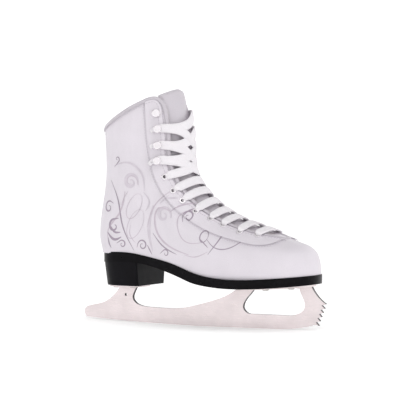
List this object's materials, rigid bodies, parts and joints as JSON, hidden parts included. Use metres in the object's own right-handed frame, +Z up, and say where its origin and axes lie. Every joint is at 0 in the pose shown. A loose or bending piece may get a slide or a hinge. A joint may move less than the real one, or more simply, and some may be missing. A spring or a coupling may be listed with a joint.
{
  "type": "figure skate",
  "caption": "White lace-up figure skate for the right foot: high lined leather boot with a padded tongue, hooks and eyelets, raised black heel and a toe-picked steel blade.",
  "frame": {"origin": "lowest level of the blade's runner, under the middle of the blade's length and of the boot's width", "axes": "+X towards the toe, +Y towards the inner side of the foot, +Z up along the shaft"},
  "size_m": [0.2918, 0.0933, 0.2521],
  "materials": {
    "blade_steel": "satin, near-white nickelled steel",
    "plate_steel": "satin",
    "screw_steel": "bright, plated",
    "sole_black": "polished black edge dressing",
    "heel_black": "polished black heel cover",
    "white_leather": "smooth coated white leather with a fine grain",
    "overlay_leather": "smooth coated white leather",
    "binding_leather": "soft grey-white binding",
    "tongue_leather": "soft matt grey-white",
    "lining_fabric": "brushed white textile",
    "stiffener_board": "pressed fibreboard",
    "foam": "open-cell foam",
    "insole_board": "pressed cellulose board",
    "white_lacquer": "white lacquered",
    "lace_cotton": "flat woven white lace"
  },
  "bodies": {
    "boot": {"blade_runner": "blade_steel", "sole_plate": "plate_steel", "heel_plate": "plate_steel", "sole_plate_screws": "screw_steel", "heel_plate_screws": "screw_steel", "outsole": "sole_black", "heel_block": "heel_black", "heel_nails": "screw_steel", "insole_board": "insole_board", "shank": "plate_steel", "sockliner": "lining_fabric", "upper_shell": "white_leather", "eyestay": "overlay_leather", "facing_backing": "lining_fabric", "backstay": "overlay_leather", "collar_binding": "binding_leather", "throat_binding": "binding_leather", "lining": "lining_fabric", "heel_counter": "stiffener_board", "ankle_padding": "foam", "side_stiffener": "stiffener_board", "toe_box": "stiffener_board", "tongue_cover": "tongue_leather", "tongue_foam": "foam", "tongue_lining": "lining_fabric", "eyelets_outer_side": "white_lacquer", "eyelets_inner_side": "white_lacquer", "hooks_outer_side": "white_lacquer", "hooks_inner_side": "white_lacquer", "lace": "lace_cotton"},
    "tongue_flap": {"flap_cover": "tongue_leather", "flap_foam": "foam", "flap_lining": "lining_fabric"}
  },
  "joints": [
    {"name": "tongue_flex", "type": "hinge", "parent": "boot", "child": "tongue_flap", "pos_m": [-0.0186, 0, 0.231], "axis": [0, 1, 0], "range_deg": [-6, 4], "stiffness_Nm_per_rad": 0.05}
  ]
}
